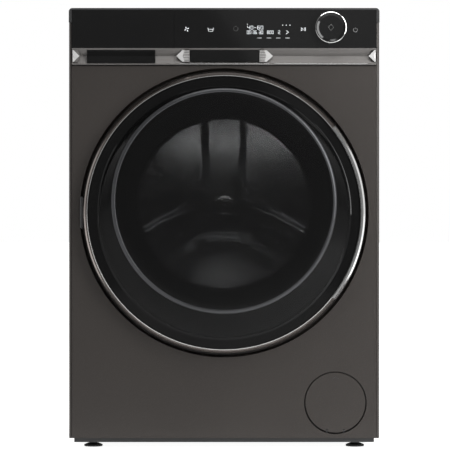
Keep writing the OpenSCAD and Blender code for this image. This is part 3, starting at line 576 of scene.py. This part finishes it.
lamp_data = bpy.data.lights.new("drum_lamp", "AREA")
lamp_data.shape = "RECTANGLE"
lamp_data.size, lamp_data.size_y = 0.30, 0.05
lamp_data.energy = 0.40
lamp = bpy.data.objects.new("drum_lamp", lamp_data)
bpy.context.scene.collection.objects.link(lamp)
lamp.location = (0.02, -0.12, (AXIS_Z + 150) * MM)
lamp.rotation_euler = (Vector((0, 0.17, (AXIS_Z - 20) * MM)) - lamp.location).to_track_quat("-Z",
        "Y").to_euler()
area_light("drum_low_lamp", (0.0, -0.10, (AXIS_Z - 150) * MM), (0, 0.17, (AXIS_Z - 60) * MM),
           (0.10, 0.03), 0.035)


# the hinge's knuckle gets a dark sleeve and its pin near-black steel, as painted shade, so that they sit
# dark in the shaded gap beside the door
pin_lo, pin_hi = box_mm("door_hinge_pin")
HX, HY = (pin_lo.x + pin_hi.x) / 2, (pin_lo.y + pin_hi.y) / 2
outer = [(HX + 4.4 * math.cos(math.radians(a)),
          HY + 4.4 * math.sin(math.radians(a))) for a in range(150, 301, 10)]
inside = [(HX + 4.05 * math.cos(math.radians(a)),
           HY + 4.05 * math.sin(math.radians(a))) for a in range(300, 149, -10)]
rim = outer + inside
verts = [(x, y, DOOR_Z - 11.4) for x, y in rim] + [(x, y, DOOR_Z + 11.4) for x, y in rim]
n = len(rim)
faces = [tuple(range(n)), tuple(range(n, 2 * n))[::-1]] + [(i, n + i, n + (i + 1) % n,
        (i + 1) % n) for i in range(n)]
piece("hinge_shade_sleeve", verts, faces, M["black_plastic"], "door")
NODES["door_hinge_pin"].data.materials[0] = finish_of("hinge_pin_shade_black", (0.02, 0.02, 0.021),
        (0.034, 0.034, 0.035),
                                                      (0.35, 0.5), 0.7, grain=500)


# ---------------------------------------------------------------- soft and sprung parts

def banded(path, half):
    """A closed profile: the path with its own thickness, half on each side."""
    left, right = [], []
    for i, p in enumerate(path):
        a, b = Vector(path[max(i - 1, 0)]), Vector(path[min(i + 1, len(path) - 1)])
        d = (b - a).normalized() * half
        left.append((p[0] - d.y, p[1] + d.x))
        right.append((p[0] + d.y, p[1] - d.x))
    return left + right[::-1]


gasket_lo, gasket_hi = box_mm("gasket")
G_OUT, G_Y, G_END = (gasket_hi.x - gasket_lo.x) / 2, gasket_lo.y, gasket_hi.y
folds = [(G_OUT - 2, G_Y + 2), (G_OUT - 10, G_Y + 2), (G_OUT - 21, G_Y + 6), (G_OUT - 29, G_Y + 12),
         (G_OUT - 30, G_Y + 16), (G_OUT - 20, G_Y + 18), (G_OUT - 14, G_Y + 24), (G_OUT - 19, G_Y + 33),
         (G_OUT - 18, G_Y + 41), (G_OUT - 12, G_Y + 46), (G_OUT - 8.5, G_Y + 52),
         (G_OUT - 8.5, G_END - 1)]
v, f = turned(banded(curve_through(folds, 4), 1.5), 0, AXIS_Z, 180)
bellows = piece("gasket_bellows", v, f, M["door_rubber"], None, ["gasket"], crease=60)
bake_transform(bellows)


def tube(path, radius, sides=8):
    """A round tube along 3-D points, its frame carried from point to point so that it doesn't twist."""
    path = [Vector(p) for p in path]
    along = [(path[min(i + 1, len(path) - 1)] - path[max(i - 1,
            0)]).normalized() for i in range(len(path))]
    up = along[0].orthogonal().normalized()
    verts, faces = [], []
    for i, p in enumerate(path):
        up = (up - along[i] * up.dot(along[i])).normalized()
        side = along[i].cross(up)
        for q in range(sides):
            b = 2 * math.pi * q / sides
            verts.append(tuple(p + (up * math.cos(b) + side * math.sin(b)) * radius))
    for i in range(len(path) - 1):
        for q in range(sides):
            m = (q + 1) % sides
            faces.append((i * sides + q, i * sides + m, (i + 1) * sides + m, (i + 1) * sides + q))
    faces += [tuple(range(sides))[::-1], tuple(range((len(path) - 1) * sides, len(path) * sides))]
    return verts, faces


coil_lo, coil_hi = box_mm("suspension_springs")
WIRE_R = 2.2
COIL_TURNS = 10
COIL_Y = (coil_lo.y + coil_hi.y) / 2
COIL_R = (coil_hi.y - coil_lo.y) / 2 - WIRE_R
COIL_X = coil_hi.x - COIL_R - WIRE_R
coils = []
for side in (-1, 1):
    path = [(side * COIL_X, COIL_Y, coil_lo.z + 1)]
    for i in range(24 * COIL_TURNS + 1):
        t = i / 24
        near = min(t, COIL_TURNS - t, 0.5) * 2
        r = COIL_R * near * near * (3 - 2 * near)
        path.append((side * COIL_X + r * math.cos(2 * math.pi * t),
                     COIL_Y + r * math.sin(2 * math.pi * t),
                     coil_lo.z + 6 + (coil_hi.z - coil_lo.z - 12) * t / COIL_TURNS))
    path.append((side * COIL_X, COIL_Y, coil_hi.z - 1))
    coils.append(tube(path, 2.1))
v, f = joined(coils)
springs = piece("spring_coils", v, f, M["spring_steel"], None, ["suspension_springs"],
                crease=60)
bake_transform(springs)


# ---------------------------------------------------------------- display, icons and strips

GLASS_Y = box_mm("control_glass")[0].y
PRINT = (GLASS_Y - 0.22, GLASS_Y + 0.1)
SEGMENTS = {"0": "abcdef", "1": "bc", "2": "abged", "3": "abgcd", "4": "fgbc", "5": "afgcd",
            "6": "afgedc", "7": "abc",
            "8": "abcdefg", "9": "abcfgd", "-": "g"}


def digits(text, x0, z0, width, height, line):
    """Seven-segment figures in a row from x0, with a colon half as wide."""
    out = []
    for ch in text:
        if ch == ":":
            for part in (0.27, 0.68):
                out.append(bar(x0 + width * 0.12, z0 + height * part, x0 + width * 0.12 + line,
                               z0 + height * part + line,
                               *PRINT))
            x0 += width * 0.5
            continue
        w, h, t = width * 0.72, height, line
        boxes = {"a": (0, h - t, w, h), "b": (w - t, h / 2, w, h), "c": (w - t, 0, w, h / 2),
                 "d": (0, 0, w, t),
                 "e": (0, 0, t, h / 2), "f": (0, h / 2, t, h), "g": (0, h / 2 - t / 2, w, h / 2 + t / 2)}
        for s in SEGMENTS[ch]:
            a, b, c, d = boxes[s]
            out.append(bar(x0 + a, z0 + b, x0 + c, z0 + d, *PRINT))
        x0 += width
    return out


def line_of(points, width=0.55):
    return stroke(points, width, *PRINT)


marks = digits("40-60", 45, 808.8, 6.4, 6.6, 0.5)
marks += digits("00:36", 44.2, 799.9, 4.5, 6.4, 0.45) + digits("30", 67, 799.9, 4.6, 6.4, 0.45)
marks += digits("800", 83.2, 799.9, 4.4, 6.4, 0.45) + digits("2", 104.4, 799.9, 5, 6.4, 0.45)
marks.append(line_of([(119.6, 806.6), (124.6, 803.3), (119.6, 800)], 0.8))
marks += [bar(x, 791.9, x + 8.6, 792.3, *PRINT) for x in (64, 82.4, 100.4, 118.2)]
marks += [plate(arc_points(x, 816.8, 0.8, 0, 345, 15), *PRINT) for x in (113, 120, 127)]
marks.append(plate(arc_points(45.2, 818.8, 0.6, 0, 345, 15), *PRINT))
for x0 in (154.4, 156.8):
    marks.append(bar(x0, 805.6, x0 + 0.6, 812.4, *PRINT))
marks.append(line_of([(149, 805.8), (149, 812.3)], 0.5))
marks.append(line_of([(149, 812.2), (152.8, 809)], 0.5))
marks.append(line_of([(149, 805.9), (152.8, 809)], 0.5))
v, f = joined(marks)
piece("display_marks", v, f, GLOW, "cabinet", smooth=False)

icons = []
for a in range(4):
    c, s = math.cos(math.radians(90 * a + 20)), math.sin(math.radians(90 * a + 20))
    blade = [(0.9, 0.1), (2.4, 1.1), (4.5, 1.0), (4.8, 0.1), (3.0, -0.3)]
    icons.append(plate([(-72.3 + c * p - s * q, 809 + s * p + c * q) for p, q in blade], *PRINT))
icons.append(line_of([(-31.4, 812), (-29.6, 804.8), (-22.4, 804.8), (-20.4, 812)]))
icons.append(line_of([(-30.6, 808.9), (-21.3, 808.9)]))
v, f = joined(icons)
piece("touch_icons", v, f, GLOW, "cabinet", smooth=False)

faint = [line_of(arc_points(22.6, 810, 4.4, 0, 360, 40), 0.2),
         line_of(arc_points(253.5, 807.7, 3.9, 122, 418, 36), 0.45),
         bar(253.3, 808.6, 253.7, 812.6, *PRINT)]
v, f = joined(faint)
piece("power_icon", v, f, PRINT_FAINT_GLOW, "cabinet", smooth=False)

KNOB_LO, KNOB_HI = box_mm("knob_ring")
KX, KZ = (KNOB_LO.x + KNOB_HI.x) / 2, (KNOB_LO.z + KNOB_HI.z) / 2
KNOB_FACE = box_mm("program_knob")[0].y
diamond = [(KX, KZ + 6), (KX + 5.4, KZ), (KX, KZ - 6), (KX - 5.4, KZ), (KX, KZ + 6)]
v, f = stroke(diamond, 0.4, KNOB_FACE - 0.15, KNOB_FACE + 0.1)
piece("knob_mark", v, f, PRINT_FAINT_GLOW, "knob", smooth=False)

strip_lo, strip_hi = box_mm("fascia_strip")
badge_lo, badge_hi = box_mm("badge_plate")
facet_lo, facet_hi = box_mm("strip_facets")
drawer_lo = box_mm("drawer_strip")[0]
bright = [bar(a, strip_lo.z + 1.0, b, strip_lo.z + 2.6, strip_lo.y - 0.3, strip_lo.y + 0.6) for a, b in
          [(badge_lo.x - 20, badge_hi.x + 20), (badge_hi.x + 30, strip_hi.x - 18)]]
v, f = joined(bright)
piece("strip_bottom_line", v, f, M["bright_chrome"], "cabinet", bevel=0.25)

FACET_Y = facet_lo.y
FACET_Z = ((facet_lo.z + facet_hi.z) / 2, (facet_hi.z - facet_lo.z) / 2 - 0.4)
CUT = finish_of("cut_silver", (0.50, 0.495, 0.49), (0.60, 0.595, 0.59), (0.28, 0.38), 0.3, grain=400,
                bump=0.04,
                depth=0.00004)


def facet(tip, root, shoulder):
    """A cut point from its tip to its square root: four slopes that meet on one raised corner."""
    z, h = FACET_Z
    rim = [(tip, z), (shoulder, z + h), (root, z + h), (root, z - h), (shoulder, z - h)]
    n = len(rim)
    verts = [(x, FACET_Y + 0.4, q) for x, q in rim] + [(x, FACET_Y + 6, q) for x, q in rim]
    verts.append((shoulder + (root - shoulder) * 0.15, FACET_Y - 0.1, z))
    faces = [(i, (i + 1) % n, 2 * n) for i in range(n)]
    faces += [(i, n + i, n + (i + 1) % n, (i + 1) % n) for i in range(n)] + [tuple(range(n, 2 * n))]
    return verts, faces


v, f = joined([facet(badge_lo.x - 27, badge_lo.x - 1.4, badge_lo.x - 15),
               facet(badge_hi.x + 27, badge_hi.x + 1.4, badge_hi.x + 15),
               facet(facet_hi.x - 13.5, facet_hi.x - 0.4, facet_hi.x - 2.4)])
piece("strip_cuts", v, f, CUT, "cabinet", ["strip_facets"], smooth=False)
v, f = facet(drawer_lo.x + 14.5, drawer_lo.x + 1.4, drawer_lo.x + 3.4)
piece("drawer_strip_cut", v, f, CUT, "drawer", smooth=False)
ribs = []
for root, way in ((badge_lo.x - 1.6, -1), (badge_hi.x + 1.6, 1)):
    for k in range(-4, 5):
        z, reach = FACET_Z[0] + 3.1 * k, 12.5 - 0.9 * abs(k)
        ribs.append(bar(root, z - 0.4, root + way * reach, z + 0.5, FACET_Y - 0.9, FACET_Y + 1))
v, f = joined(ribs)
piece("strip_cut_ribs", v, f, M["dark_chrome"], "cabinet", smooth=False)


# ---------------------------------------------------------------- filter mark and edges of the plain parts

cover_lo, cover_hi = box_mm("filter_cover")
CX, CZ = (cover_lo.x + cover_hi.x) / 2, (cover_lo.z + cover_hi.z) / 2
v, f = stroke([(CX - 6, CZ + 45.6), (CX, CZ + 49), (CX + 6, CZ + 45.6)], 1.6, cover_lo.y - 0.2,
              cover_lo.y + 0.3)
piece("filter_mark", v, f, M["damper_black"], "flap", smooth=False)

for name, width in {"worktop": 1.0, "cabinet_shell": 0.6, "front_panel": 0.5, "fascia_frame": 0.4,
                    "drawer_front": 0.4,
                    "control_glass": 0.4, "badge_plate": 0.3, "rear_cover": 0.4,
                    "front_counterweight": 3.0,
                    "top_counterweight": 3.0, "control_box": 0.8, "inlet_valve": 0.8,
                    "pump_housing": 0.6,
                    "door_inner_frame": 0.5, "drawer_tray": 0.5, "foot_front_left": 0.5,
                    "foot_front_right": 0.5,
                    "foot_rear_left": 0.5, "foot_rear_right": 0.5, "knob_ring": 0.3,
                    "program_knob": 0.4}.items():
    round_edges(NODES[name], width, angle=40)




# ---------------------------------------------------------------- the end

bpy.context.view_layer.update()
